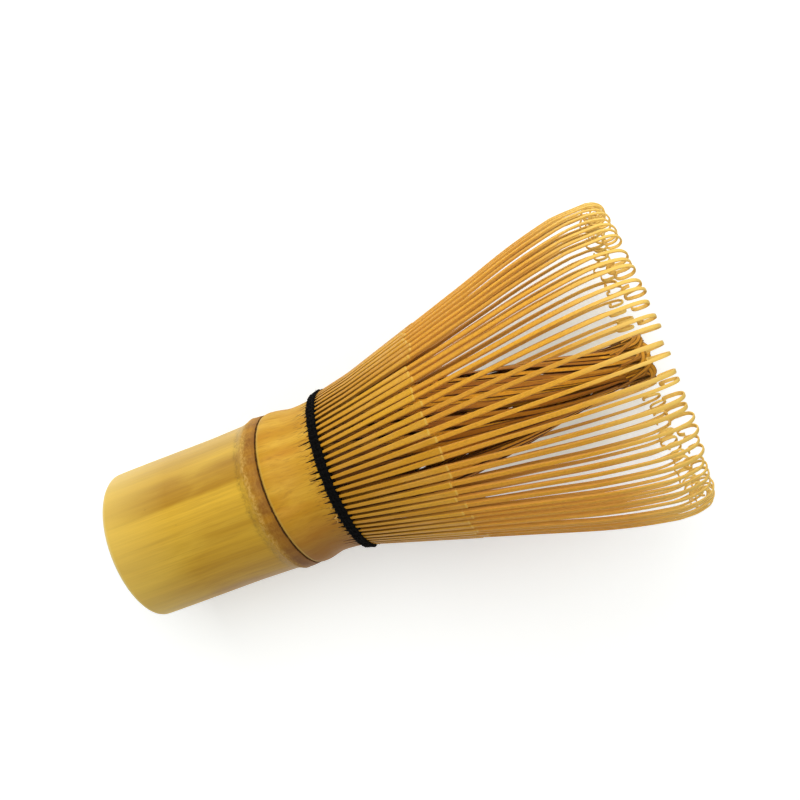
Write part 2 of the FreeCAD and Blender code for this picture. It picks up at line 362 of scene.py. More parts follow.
def makeFuzzTree():
    # short loose fibres standing on a surface
    tree, given, out = newTree("looseFibres", {
        "Density": 4e6,
        "Length": 0.0006,
        "Fibre Radius": 0.00001,
        "Stray": 1.0,
        "Seed": 1,
        "Material": None,
    })
    points = addNode(tree, "GeometryNodeDistributePointsOnFaces", {
        "Mesh": given["Geometry"], "Density": given["Density"], "Seed": given["Seed"],
    })
    line = addNode(tree, "GeometryNodeCurvePrimitiveBezierSegment", {
        "Start": (0, 0, 0), "Start Handle": (0, 0, 0.4), "End Handle": (0.35, 0, 0.75), "End": (0.6, 0.1, 0.8),
        "Resolution": 4,
    })
    thin = addNode(tree, "GeometryNodeCurvePrimitiveCircle", {
        "Resolution": 3,
        "Radius": calculate(tree, "DIVIDE", given["Fibre Radius"], given["Length"]),
    })
    hair = addNode(tree, "GeometryNodeCurveToMesh", {
        "Curve": line.outputs[0], "Profile Curve": thin.outputs["Curve"], "Fill Caps": True,
    })
    leaned = addNode(tree, "FunctionNodeRandomValue", {
        0: scaled(tree, (-1.0, -1.0, -3.1), given["Stray"]),
        1: scaled(tree, (1.0, 1.0, 3.1), given["Stray"]),
        "Seed": given["Seed"],
    }, data_type="FLOAT_VECTOR")
    turnedBy = addNode(tree, "FunctionNodeEulerToRotation", {0: leaned.outputs[0]})
    turned = addNode(tree, "FunctionNodeRotateRotation", {
        0: points.outputs["Rotation"], 1: turnedBy.outputs[0],
    }, rotation_space="LOCAL")
    size = addNode(tree, "FunctionNodeRandomValue", {
        2: 0.3, 3: 1.0, "Seed": given["Seed"],
    }, data_type="FLOAT")
    stood = addNode(tree, "GeometryNodeInstanceOnPoints", {
        "Points": points.outputs["Points"], "Instance": hair.outputs[0], "Rotation": turned.outputs[0],
        "Scale": times(tree, size.outputs[1], given["Length"]),
    })
    finishTree(tree, stood.outputs[0], given["Material"], out)
    return tree


# guides: the lines that strips and threads follow

def makeGuide(name, strands):
    # each strand is a run of points, with the values it is swept and coloured by
    points, edges = [], []
    for strand in strands:
        first = len(points)
        points.extend(strand["points"])
        edges.extend((i, i + 1) for i in range(first, len(points) - 1))
    guide = placeMesh(name, points, [], edges)
    for key, unit in (("side", 1), ("out", 1), ("halfWide", mm), ("halfThick", mm), ("tone", 1)):
        values = np.concatenate([strand[key] for strand in strands]) * unit
        keepValues(guide, key, values, "FLOAT" if values.ndim == 1 else "FLOAT_VECTOR")
    return guide


def makeStrand(points, sides, halfWide, halfThick, tone):
    # frames a run of points: out is square to the run and to the wished side
    points = np.array(points, float)
    count = len(points)
    ahead = np.gradient(points, axis=0)
    ahead /= np.linalg.norm(ahead, axis=1)[:, None]
    side = np.broadcast_to(np.array(sides, float), points.shape).copy()
    side -= ahead * (side * ahead).sum(1)[:, None]
    side /= np.linalg.norm(side, axis=1)[:, None]
    return {
        "points": points, "side": side, "out": np.cross(side, ahead), "tone": np.full(count, tone),
        "halfWide": np.broadcast_to(halfWide, count), "halfThick": np.broadcast_to(halfThick, count),
    }


# handle: the culm below the sheath groove, with its bore

handle = {
    "radius": 14.0,
    "boreRadius": 10.2,
    "rimRounding": 0.7,
    # how far the outside stands off the radius at each height, foot to groove
    "outside": ((0.02, 1.6), (0.02, 6), (-0.01, 11), (-0.05, 16), (-0.07, 20.5), (0, 23.5), (0.06, 25.5),
                (0.14, 26.5), (0.36, 27.3), (0.54, 28.0), (0.64, 28.7), (0.62, 29.4), (0.52, 30.2)),
    "scarHeight": 28.0,        # the sheath scar, a thin crumbled line
    "scarHalf": 0.3, "scarProud": 0.13, "scarUneven": 0.05,
    "bandHeight": 28.9, "bandHalf": 1.3, "bandUneven": 0.05,
    "grooveHeight": 30.6,
    "grooveDepth": 0.45,
    "grooveWander": 0.09, "grooveUneven": 0.05,
    # the spigot inside the sleeve, by height above the groove
    "spigot": ((0.5, 0.5), (0.5, 1.5), (0.25, 3.5), (-0.1, 5.4)),
    "spigotFit": 0.05,         # it laps into the sleeve's wall by this much
    "segments": 288,
}

# how far the node stands above level: higher at the sides than in front
nodeLift = {
    "even": 0.99, "toX": 0.3, "toY": 0.175, "twiceRound": 0.26,
    "comes": (21.5, 27.0), "goes": (37.5, 31.5),
}


def ringNoise(seed, waves, low=1):
    # a smooth random wave round the culm, about -1 to 1
    dice = random.Random(seed)
    terms = [(dice.uniform(0.4, 1), n, dice.uniform(0, 2 * math.pi)) for n in range(low, low + waves)]
    total = sum(size for size, _, _ in terms) / 1.6
    return lambda angle: sum(size * math.sin(n * angle + shift) for size, n, shift in terms) / total


def nodeLevel(height, angle):
    lift = nodeLift["even"] + nodeLift["toX"] * math.cos(angle) + nodeLift["toY"] * math.sin(angle)
    lift += nodeLift["twiceRound"] * math.cos(2 * angle)
    return height + lift * smoothRamp(height, *nodeLift["comes"]) * smoothRamp(height, *nodeLift["goes"])


def handleOutline():
    # (radius, height) from the inner rim of the foot, up the outside, and down the bore
    r, bore, groove = handle["radius"], handle["boreRadius"], handle["grooveHeight"]
    rounding, ledge = handle["rimRounding"], whisk["ledgeHeight"]
    outline = [(bore + 0.35, 0.0), (bore + 1.3, 0.0), (r - 2.0, 0.0)]
    for step in range(7):
        turn = math.radians(90 * step / 6)
        outline.append((r - rounding + rounding * math.sin(turn), rounding - rounding * math.cos(turn)))
    outline += smoothCurve([(r + off, height) for off, height in handle["outside"]], 6)
    outline += [(r + 0.5, groove - 0.14), (r + 0.3, groove - 0.07), (r + 0.47 - handle["grooveDepth"], groove)]
    inner = r - whisk["rootThickness"] + handle["spigotFit"]
    outline += [(inner + off, groove + above) for off, above in handle["spigot"]]
    outline += [(inner - 0.15, ledge - 0.2), (inner - 0.3, ledge), (bore + 0.1, ledge), (bore, ledge - 0.2)]
    return outline + [(bore, 26), (bore, 13), (bore, 0.4)]


def makeHandle():
    outline = handleOutline()
    segments, count = handle["segments"], len(outline)
    roundness, scarWave, scarGrain, bandWave = (
        ringNoise(1, 3, 2), ringNoise(2, 5), ringNoise(3, 60, 20), ringNoise(4, 9, 3))
    points, faces, levels = [], [], []
    for column in range(segments):
        angle = 2 * math.pi * column / segments
        for radius, height in outline:
            if radius > handle["radius"] - 1.4:        # the outside only
                radius += whisk["outOfRound"] * roundness(angle)
                scarHeight = handle["scarHeight"] + 0.3 * scarWave(angle)
                scar = math.exp(-((height - scarHeight) / handle["scarHalf"]) ** 2)
                radius += scar * (handle["scarProud"] + handle["scarUneven"] * scarGrain(angle))
                band = math.exp(-((height - handle["bandHeight"]) / handle["bandHalf"]) ** 2)
                radius += band * handle["bandUneven"] * bandWave(angle)
                if abs(height - handle["grooveHeight"]) < 0.3:
                    height += handle["grooveWander"] * scarWave(angle + 1)
                    height += handle["grooveUneven"] * scarGrain(angle)
            levels.append(height)
            points.append(onRing(radius, angle, nodeLevel(max(height, 0.0), angle)))
    for column in range(segments):
        here, there = column * count, ((column + 1) % segments) * count
        for row in range(count):
            after = (row + 1) % count
            faces.append((here + row, there + row, there + after, here + after))
    piece = placeMesh("handleCulm", points, faces)
    keepValues(piece, "level", levels)         # the material finds the node band by these heights
    faceOutwards(piece)
    piece.data.shade_smooth()
    piece.data.set_sharp_from_angle(angle=math.radians(50))
    return piece


# sleeve: the short internode above the groove, its top edge split between the tines

sleeve = {
    "foot": 30.7,
    "top": 42.4,
    "outside": ((30.7, 14.4), (31.0, 14.52), (31.9, 14.56), (33.2, 14.41), (34.7, 14.17), (36.2, 13.93),
                (37.6, 13.86), (39.1, 13.95)),
    "splitLow": 39.3,
    "splitHigh": 40.9,
    "longShare": 0.2, "longBy": (0.4, 1.5),        # some splits run further down
    "splitWide": 0.54,         # gap between two roots at the thread
    "splitUneven": (0.75, 1.25),
    "columns": 7,
    "lipUneven": 0.06,
    "seed": 11,
}


def sleeveRadius(height):
    leaning = [(above, leaningRadius(above)) for above in (40.6, 42.1, 43.6)]
    profile = np.array(smoothCurve(list(sleeve["outside"]) + leaning, 8))
    return float(np.interp(height, profile[:, 0], profile[:, 1]))


def splitGaps():
    # each split: where it ends, its half width at the thread on both sides
    dice = random.Random(sleeve["seed"])
    gaps = []
    for _ in range(whisk["tines"]):
        low = dice.uniform(sleeve["splitLow"], sleeve["splitHigh"])
        if dice.random() < sleeve["longShare"]:
            low -= dice.uniform(*sleeve["longBy"])
        gaps.append((low, [sleeve["splitWide"] / 2 * dice.uniform(*sleeve["splitUneven"]) for _ in range(2)]))
    return gaps


def makeSleeve():
    heights = list(np.linspace(sleeve["foot"], 38.0, 16)) + list(np.arange(38.12, sleeve["top"], 0.12))
    gaps = splitGaps()
    roundness, lip = ringNoise(1, 3, 2), ringNoise(21, 60, 20)
    radii = [sleeveRadius(h) for h in heights]
    points, faces, levels = [], [], []
    columns = sleeve["columns"]
    halfPitch = whisk["pitch"] / 2
    for tine in range(whisk["tines"]):
        first = len(points)
        sides = (gaps[tine - 1], gaps[tine])
        for row, (height, radius) in enumerate(zip(heights, radii)):
            edges = []
            for (low, _), half in zip(sides, (sides[0][1][1], sides[1][1][0])):
                share = max(0.0, (height - low) / (whisk["threadHeight"] - low))
                edges.append(halfPitch - half * share ** 0.75 / radius)
            for column in range(columns):
                across = 2 * column / (columns - 1) - 1
                angle = tineAngle(tine) + across * (edges[0] if across < 0 else edges[1])
                up = height + (sleeve["lipUneven"] * lip(angle) if row == 0 else 0)
                levels.append(up)
                points.append(onRing(radius + whisk["outOfRound"] * roundness(angle), angle, nodeLevel(up, angle)))
        for row in range(len(heights) - 1):
            for column in range(columns - 1):
                a = first + row * columns + column
                faces.append((a, a + 1, a + columns + 1, a + columns))
    piece = placeMesh("sleeve", points, faces)
    keepValues(piece, "level", levels)
    faceOutwards(piece, mergeDistance=2e-6)
    wall = piece.modifiers.new("wall", "SOLIDIFY")
    wall.thickness = whisk["rootThickness"] * mm
    wall.offset = -1
    wall.material_offset, wall.material_offset_rim = 1, 1
    piece.data.shade_smooth()
    return piece


# outer tines

outerTine = {
    "start": 41.8,
    "rootWide": 0.46, "fullWide": 0.72, "stepWide": 1.1, "pastStepWide": 0.88, "tipWide": 0.61,
    "rootThick": 0.55, "stepThick": 0.9, "pastStepThick": 0.84, "tipThick": 0.27,
    "splitTop": 43.0,          # the tine widens from here to its full height
    "fullHeight": 47.5,
    "stepHeight": 62.7, "stepScatter": 1.0, "skinProud": 0.1,
    "straightEnd": 80.0,
    "bendEnd": 94.7,
    "bendLean": math.radians(7.5),
    "curlLean": math.radians(-18),
    "curlStart": 99.9,
    "shoulderRadius": 2.25, "shoulderLean": math.radians(-75),
    "curlRadius": 1.3,
    "curlLeg": 0.9,
    "hookRadius": 0.95,
    "hookTurn": 130,
    "hollow": 0.5,             # the fan is hollowed by this much on its -X side, over these heights
    "hollowComes": (43.5, 49.5), "hollowGoes": (93, 75),
    "drawnRound": 0.5,         # the tines at the back lean round by this share of a pitch
    "strip": {"Corners": 8, "Squareness": 0.42, "Unevenness": 0.00016, "Uneven Scale": 55.0},
    "seed": 23,
}


class Walk:
    # a line in the plane of radius and height, walked by straight runs and inward bends

    def __init__(self, radius, height, lean):
        self.places = [(radius, height)]
        self.lean = lean

    def straight(self, length, steps):
        r, z = self.places[-1]
        for step in range(1, steps + 1):
            run = length * step / steps
            self.places.append((r + run * math.sin(self.lean), z + run * math.cos(self.lean)))

    def bend(self, radius, lean, steps):
        r, z = self.places[-1]
        centre = (r - radius * math.cos(self.lean), z + radius * math.sin(self.lean))
        start = self.lean
        for step in range(1, steps + 1):
            self.lean = start + (lean - start) * step / steps
            across, up = radius * math.cos(self.lean), radius * math.sin(self.lean)
            self.places.append((centre[0] + across, centre[1] - up))

    def bendUpTo(self, height, lean, steps):
        rise = height - self.places[-1][1]
        self.bend(rise / (math.sin(self.lean) - math.sin(lean)), lean, steps)


def outerTineStrand(tine, dice):
    t, angle = outerTine, tineAngle(tine)
    lean = whisk["lean"] + math.radians(dice.uniform(-0.4, 0.0) - 0.2 * math.cos(angle))
    drop = dice.uniform(0.0, 0.6)                       # tines end at uneven heights
    grow = dice.uniform(0.85, 1.12)                     # and curl more or less tightly
    stepShift = dice.uniform(-1, 1)
    step = t["stepHeight"] + stepShift * t["stepScatter"]
    walk = Walk(leaningRadius(t["start"]), t["start"], whisk["lean"])
    slant = math.cos(whisk["lean"])
    walk.straight((t["fullHeight"] - t["start"]) / slant, 10)
    walk.lean = lean
    walk.straight((step - t["fullHeight"]) / slant, 9)
    atStep = len(walk.places)
    walk.straight(0.03, 1)
    walk.straight((t["straightEnd"] - drop - step) / slant, 9)
    walk.bendUpTo(t["bendEnd"] - drop, t["bendLean"], 7)
    walk.bendUpTo(t["curlStart"] - drop, t["curlLean"], 5)
    walk.bend(t["shoulderRadius"] * grow, t["shoulderLean"], 7)
    walk.bend(t["curlRadius"] * grow, math.radians(-180), 9)
    walk.straight(t["curlLeg"] * dice.uniform(0.4, 1.5), 3)
    hookRadius = t["hookRadius"] * dice.uniform(0.8, 1.6)
    walk.bend(hookRadius, math.radians(-180 - t["hookTurn"] * dice.uniform(0.35, 1.5)), 8)
    places = np.array(walk.places)
    heights = np.maximum.accumulate(places[:, 1])
    hollow = t["hollow"] * max(-math.cos(angle), 0)
    places[:, 0] -= hollow * ramp(heights, *t["hollowComes"]) * ramp(heights, *t["hollowGoes"])
    places[:, 0] = np.minimum(places[:, 0], cadBox[1].x / mm - 0.04)
    share = np.arange(len(places)) / (len(places) - 1)
    past = np.arange(len(places)) >= atStep

    rootShare = ramp(heights, t["splitTop"], t["fullHeight"])
    skinShare = ramp(heights, t["fullHeight"], step)
    tipShare = ramp(heights, step, whisk["tineTop"])
    wide = taper(t, "rootWide", "fullWide", np.sqrt(rootShare * (2 - rootShare)))
    wide = wide + (t["stepWide"] - t["fullWide"]) * skinShare
    thick = taper(t, "rootThick", "stepThick", skinShare)
    wide[past] = taper(t, "pastStepWide", "tipWide", tipShare[past])
    thick[past] = taper(t, "pastStepThick", "tipThick", tipShare[past] ** 0.7)
    wide *= dice.uniform(0.9, 1.1)
    wide[past] *= dice.uniform(0.86, 1.08)

    drawnRound = t["drawnRound"] * whisk["pitch"] * ramp(math.sin(angle), 0, 0.35)
    astray = math.radians(dice.uniform(-1.1, 1.1)) + drawnRound
    away, around = directions(angle + astray * ramp(heights, 43, 73))
    drift = dice.uniform(-0.35, 0.35) * np.maximum(share - 0.62, 0) ** 1.5 * 6
    # the skin stands proud of the pared tine; the guide runs through the middle of the strip
    ahead = np.gradient(places, axis=0)
    ahead /= np.linalg.norm(ahead, axis=1)[:, None]
    square = np.stack([ahead[:, 1], -ahead[:, 0]], 1)
    inset = thick / 2 + np.where(past, t["skinProud"] * (1 - tipShare), 0)
    places = places - square * inset[:, None]
    points = away * places[:, :1] + around * drift[:, None]
    points[:, 2] = places[:, 1]
    sway = math.radians(dice.uniform(-22, 22))
    sides = around + away * np.sin(sway * np.maximum(share - 0.3, 0))[:, None]
    return makeStrand(points, sides, wide / 2, thick / 2, (stepShift + 1) / 2)


def makeOuterTines(tree, material):
    pieces = []
    dice = random.Random(outerTine["seed"])
    for group in range(whisk["groups"]):
        first = group * whisk["tinesPerGroup"]
        strands = [outerTineStrand(tine, dice) for tine in range(first, first + whisk["tinesPerGroup"])]
        pieces.append(growPiece("outerTines%02d" % (group + 1), makeGuide("outerGuide", strands), tree, {
            **outerTine["strip"], "Seed": float(group), "Material": material,
        }))
    return pieces


# inner tines: one bundle, twisted on the axis, with a swirled head

innerTine = {
    "rootRadius": 12.76,
    "neckHeight": 93.5,
    "neckRadius": 3.55,
    "fullness": 1.3,
    "headRadius": 3.8, "headFlares": (90, 96),
    "headTop": 100.3,
    "wide": 1.2, "neckWide": 0.66, "tipWide": 0.46,
    "narrows": (60, 92),
    "thick": 0.38, "tipThick": 0.2,
    "slant": 0.2,              # how far a strand goes round for each step up
    "layers": (1.0, 1.0, 0.98, 0.94, 0.86, 0.7),
    "layersPart": (52, 88),
    "outerHook": {
        "radius": (1.3, 2.1), "turn": (146, 172), "leg": (2.2, 5.4), "lift": (0.45, 1.0), "lower": (0, 1.2),
    },
    "innerHook": {
        "radius": (0.7, 1.5), "turn": (110, 185), "leg": (0.3, 2.0), "lift": (-1.8, -0.3), "lower": (0, 1.4),
    },
    "outerHookShare": 0.46,
    "strip": {"Corners": 8, "Squareness": 0.4, "Unevenness": 0.0005, "Uneven Scale": 70.0, "Seed": 3.0},
    "seed": 5,
}


def innerTineStrand(tine, dice):
    # a run up the cone, then a hook over that lies round the head and comes back down it
    t = innerTine
    layer = t["layers"][dice.randrange(len(t["layers"]))] * dice.uniform(0.97, 1.02)
    hook = t["outerHook"] if dice.random() < t["outerHookShare"] else t["innerHook"]
    turn, hookRadius = math.radians(dice.uniform(*hook["turn"])), dice.uniform(*hook["radius"])
    if hook is t["outerHook"]:
        layer = 1.0
    top = t["headTop"] - dice.uniform(*hook["lower"]) - hookRadius
    heights = list(np.linspace(whisk["ledgeHeight"], 88, 22)) + list(np.linspace(89.5, top, 6))
    slant = t["slant"] * dice.uniform(0.85, 1.15)
    swell, waves = dice.uniform(-0.18, 0.18), dice.uniform(1.5, 3)
    lift = dice.uniform(*hook["lift"])

    def coneRadius(height):
        share = ramp(height, whisk["ledgeHeight"], t["neckHeight"])
        radius = taper(t, "neckRadius", "rootRadius", 1 - share ** t["fullness"])
        radius *= 1 + (layer - 1) * smoothRamp(height, *t["layersPart"])
        flare = (t["headRadius"] - t["neckRadius"]) * ramp(height, *t["headFlares"]) * layer
        return radius + flare + swell * math.sin(share * math.pi * waves) - 0.2

    angle = tineAngle(tine) + whisk["pitch"] / 2
    places, before = [], heights[0]
    for height in heights:
        angle += (height - before) * slant / max(coneRadius(height), 3.0)
        before = height
        places.append((coneRadius(height), angle, height))
    radius, angle, height = places[-1]
    heading = math.atan(slant)                     # 0 is straight up, a quarter turn is round the head
    steps, leg = 12, dice.uniform(*hook["leg"])
    runs = [hookRadius * turn / steps] * steps + [leg / 3] * 3
    for step, run in enumerate(runs):
        if step < steps:
            heading += turn / steps
        angle += run * math.sin(heading) / max(radius, 1.6)
        height += run * math.cos(heading)
        share = (step + 1) / len(runs)
        places.append((coneRadius(height) + lift * math.sin(min(share * 1.4, 1) * math.pi / 2), angle, height))
    radii, angles, heights = np.array(places).T
    away, _ = directions(angles)
    points = away * radii[:, None]
    points[:, 2] = heights
    sides = np.cross(np.gradient(points, axis=0), away)
    wide = taper(t, "wide", "neckWide", ramp(heights, *t["narrows"]))
    wide[-9:] = np.linspace(wide[-9], t["tipWide"], 9)
    thick = taper(t, "thick", "tipThick", np.arange(len(points)) / (len(points) - 1))
    return makeStrand(points, sides, wide / 2 * dice.uniform(0.85, 1.12), thick / 2, dice.random())


def makeInnerTines(tree, material):
    dice = random.Random(innerTine["seed"])
    guide = makeGuide("innerGuide", [innerTineStrand(tine, dice) for tine in range(whisk["tines"])])
    return growPiece("innerTines", guide, tree, {**innerTine["strip"], "Material": material})


# binding thread, twisted from two plies

thread = {
    "turns": 3,
    "turnRise": 0.6,
    "plyRadius": 0.185, "lacePlyRadius": 0.11,
    "twistLength": 1.15,
    "proud": 0.22, "underProud": 0.08,     # how far the thread's middle stands off the tines
    "dip": 0.3,                # how far it sinks between two tines
    "behind": 0.93,            # middle of the inner turn, in from the tines' outer face
    # the thread between the rows is real, but its five turns are more than the frame's one ring: the rest stand as
    # dark painted shade behind the splits
    "behindTurns": 5, "behindRise": 0.68,
    "laceLow": 41.2, "laceHigh": 43.3,
    "wobble": 0.09,
    "pointsPerTine": 8,
    "fuzzLength": 0.00055, "fuzzRadius": 0.000011, "fuzzDensity": 1.6e6,
    "seed": 8,
}


def threadStrand(places):
    return makeStrand(places, np.tile([0.0, 0.0, 1.0], (len(places), 1)), 1.0, 1.0, 0.5)


def windingPlaces(turns, proud):
    # outer turns: over each tine, a little down into each gap
    dice = random.Random(thread["seed"] + turns)
    count = thread["pointsPerTine"]
    total = turns * whisk["tines"] * count
    wobble = [dice.uniform(-1, 1) for _ in range(turns * whisk["tines"] + 2)]
    low = whisk["threadHeight"] - thread["turnRise"] * turns / 2
    places = []
    for step in range(total + 1):
        tine, part = divmod(step, count)
        angle = tineAngle(step / count - 0.5)
        height = low + thread["turnRise"] * step / (whisk["tines"] * count)
        height += thread["wobble"] * (wobble[tine] + (wobble[tine + 1] - wobble[tine]) * part / count)
        middle = abs(2 * part / count - 1)                 # 1 over a gap, 0 over a tine
        places.append(onRing(leaningRadius(height) + proud - thread["dip"] * middle ** 3, angle, height))
    return places


def lacePlaces():
    # the same thread laced round every tine: up through a gap, back behind the tine
    dice = random.Random(thread["seed"] + 1)
    places = []
    for tine in range(whisk["tines"] + 1):
        gap, behind = tineAngle(tine - 0.5), tineAngle(tine)
        low = thread["laceLow"] - 0.45 * dice.random() ** 1.8
        high = thread["laceHigh"] + dice.uniform(-0.3, 0.45)
        row = [(gap, 0.55, low + 0.25), (gap, 0.12, low), (gap, 0.02, low + 0.6), (gap, 0.02, high - 0.6),
               (gap, 0.1, high), (gap, 0.6, high - 0.1), (behind, 0.95, (low + high) / 2)]
        places += [onRing(leaningRadius(height) - inward, angle, height) for angle, inward, height in row]
    return smoothCurve(places[:-1], 3)


def innerTurnPlaces():
    # the turns that part the two rows, behind the outer tines: a real thread, wound more turns than the frame's one
    # ring so that it also stands as dark painted shade seen through the splits
    count, rounds = 240, thread["behindTurns"]
    places = []
    for step in range(count * rounds + 1):
        turn = 2 * math.pi * step / count
        height = whisk["threadHeight"] - 0.6 + thread["behindRise"] * (step / count - rounds / 2)
        places.append(onRing(leaningRadius(height) - thread["behind"], turn, height))
    return places


def makeThread(twistTree, fuzzTree, material):
    outer = windingPlaces(thread["turns"], thread["proud"])
    under = windingPlaces(thread["turns"] - 1, thread["underProud"])
    made = []
    for name, runs, plyRadius, sides in (
            ("bindingThread", (outer, under, innerTurnPlaces()), thread["plyRadius"], 6),
            ("threadLacing", (lacePlaces(),), thread["lacePlyRadius"], 5)):
        guide = makeGuide("threadGuide", [threadStrand(places) for places in runs])
        made.append(growPiece(name, guide, twistTree, {
            "Plies": 2, "Ply Radius": plyRadius * mm, "Twist Length": thread["twistLength"] * mm,
            "Sides": sides, "Material": material,
        }))
    fuzz = growPiece("threadFuzz", addObject("scalp", made[0].data.copy()), fuzzTree, {
        "Density": thread["fuzzDensity"], "Length": thread["fuzzLength"], "Fibre Radius": thread["fuzzRadius"],
        "Stray": 0.5, "Seed": thread["seed"], "Material": material,
    })
    return (*made, fuzz)


# slivers: thin curls left where a split stops

sliver = {
    "count": 12,
    "long": (1.2, 2.6),
    "curl": (-150, 150),
    "wide": 0.32, "tipWide": 0.05, "thick": 0.1,
    "steps": 9,
    "seed": 17,
}


def makeSlivers(tree, material):
    dice = random.Random(sliver["seed"])
    gaps = splitGaps()
    up = np.array([0, 0, 1])
    strands = []
    for _ in range(sliver["count"]):
        tine = dice.randrange(whisk["tines"])
        low = gaps[tine][0]
        angle = tineAngle(tine) + whisk["pitch"] / 2 + math.radians(dice.uniform(-0.5, 0.5))
        run, turn = dice.uniform(*sliver["long"]) / sliver["steps"], math.radians(dice.uniform(*sliver["curl"]))
        away, around = directions(angle)
        place = away * (sleeveRadius(low) + 0.12) + up * (low + dice.uniform(-0.2, 0.3))
        places = [place - away * 0.35]
        for step in range(sliver["steps"]):
            bent = turn * step / sliver["steps"]
            outward = away * (0.3 if step < 5 else -0.1)
            places.append(places[-1] + run * (math.cos(bent) * 0.75 * up + math.sin(bent) * around + outward))
        count = len(places)
        wide = np.linspace(sliver["wide"], sliver["tipWide"], count)
        sides = np.tile(around + 0.3 * away, (count, 1))
        strands.append(makeStrand(places, sides, wide / 2, sliver["thick"] / 2, dice.random()))
    return growPiece("slivers", makeGuide("sliverGuide", strands), tree, {
        "Corners": 8, "Squareness": 0.6, "Unevenness": 0.0, "Material": material,
    })


# materials

def newMaterial(name):
    material = bpy.data.materials.new(name)
    material.use_nodes = True
    tree = material.node_tree
    tree.nodes.clear()
    return material, tree


def finishMaterial(tree, skin, rough, gloss=0.5, bump=None, bumpDepth=0.03):
    # what is the same all over is set on the shader itself
    shader = addNode(tree, "ShaderNodeBsdfPrincipled", {
        "Base Color": skin, "Roughness": rough, "Specular IOR Level": gloss,
    })
    if bump is not None:
        raised = addNode(tree, "ShaderNodeBump", {"Height": bump, "Distance": bumpDepth * mm, "Strength": 1.0})
        tree.links.new(raised.outputs[0], shader.inputs["Normal"])
    out = tree.nodes.new("ShaderNodeOutputMaterial")
    tree.links.new(shader.outputs[0], out.inputs["Surface"])


def placeInMm(tree, lengthwise=1):
    # a lengthwise share under 1 draws a pattern out along the whisk
    place = addNode(tree, "ShaderNodeTexCoord").outputs["Object"]
    scale = (1000, 1000, 1000 * lengthwise)
    return addNode(tree, "ShaderNodeMapping", {"Vector": place, "Scale": scale}).outputs[0]


def noise(tree, lengthwise, scale, detail=2.0, roughness=0.5, distortion=0.0):
    return addNode(tree, "ShaderNodeTexNoise", {
        "Vector": placeInMm(tree, lengthwise), "Scale": scale, "Detail": detail, "Roughness": roughness,
        "Distortion": distortion,
    }).outputs[0]


def between(tree, value, low, high, first=0.0, last=1.0, smooth=False):
    return addNode(tree, "ShaderNodeMapRange", {0: value, 1: low, 2: high, 3: first, 4: last},
                   interpolation_type="SMOOTHSTEP" if smooth else "LINEAR").outputs[0]


def blendColour(tree, share, a, b, way="MIX"):
    mix = addNode(tree, "ShaderNodeMix", {0: share, 6: a, 7: b}, data_type="RGBA", blend_type=way)
    return mix.outputs[2]


def wash(tree, skin, over, value, low, high, most=1.0):
    # lays a colour over the skin, none where the value is low and most where it is high
    return blendColour(tree, between(tree, value, low, high, 0.0, most), skin, over)


def attribute(tree, name):
    return addNode(tree, "ShaderNodeAttribute", attribute_name=name).outputs["Fac"]


def colour(red, green, blue):
    # a colour given as it looks on screen, from 0 to 255
    def plain(value):
        value /= 255
        return value / 12.92 if value <= 0.04045 else ((value + 0.055) / 1.055) ** 2.4
    return (plain(red), plain(green), plain(blue), 1.0)


def nearHeight(tree, height, middle, reach):
    # 1 at one height, fading to 0 a reach away
    return between(tree, sizeOf(tree, minus(tree, height, middle)), reach, 0.0, smooth=True)


skinLook = {
    "golden": colour(224, 180, 52),
    "olive": colour(162, 114, 12),
    "pale": colour(228, 190, 66),
    "fibre": colour(150, 104, 30),
    "fleck": colour(120, 84, 36),
    "paleFoot": colour(238, 204, 100),
    "rim": colour(246, 220, 140),
    # painted light: a pale colour for the culm's -X side, where the lamps light it most
    "paintedLitSide": colour(250, 226, 150),
    "band": colour(172, 118, 16), "bandDark": colour(134, 84, 12), "bandCrumb": colour(206, 156, 62),
    # painted shade: the band's colour on its shaded side, from the front round to +X
    "paintedShadeBand": colour(104, 62, 10),
    "smudge": colour(112, 84, 34), "smudgeHeight": 26.7,
    "scar": colour(222, 180, 98), "scarHeight": 28.0,
    "groove": colour(88, 56, 24), "grooveHeight": 30.6,
    "lip": colour(222, 184, 84),
    "sleeve": colour(196, 142, 22), "sleevePale": colour(216, 168, 52), "sleeveCloud": colour(196, 130, 34),
    # on the next line, the dark brown after the fibre colour is painted shade for the sleeve's shaded side; the
    # others are the sleeve's own colours
    "sleeveFibre": colour(168, 110, 28), "paintedShadeSleeve": colour(134, 80, 12), "sleeveDash": colour(136, 84, 22),
    "torn": colour(92, 52, 14),
    "cut": colour(226, 196, 138), "pore": colour(166, 122, 66),
    "roughness": 0.42,
    # how olive the culm is, once round from the -X side
    "tones": ((0.06, 0.3), (0.12, 0.55), (0.155, 0.95), (0.19, 0.6), (0.215, 0.0), (0.25, 0.22), (0.29, 0.5),
              (0.33, 0.4), (0.39, 0.75), (0.44, 0.95), (0.52, 0.6), (0.6, 0.8), (0.7, 0.3), (0.8, 0.65), (0.9, 0.4)),
}


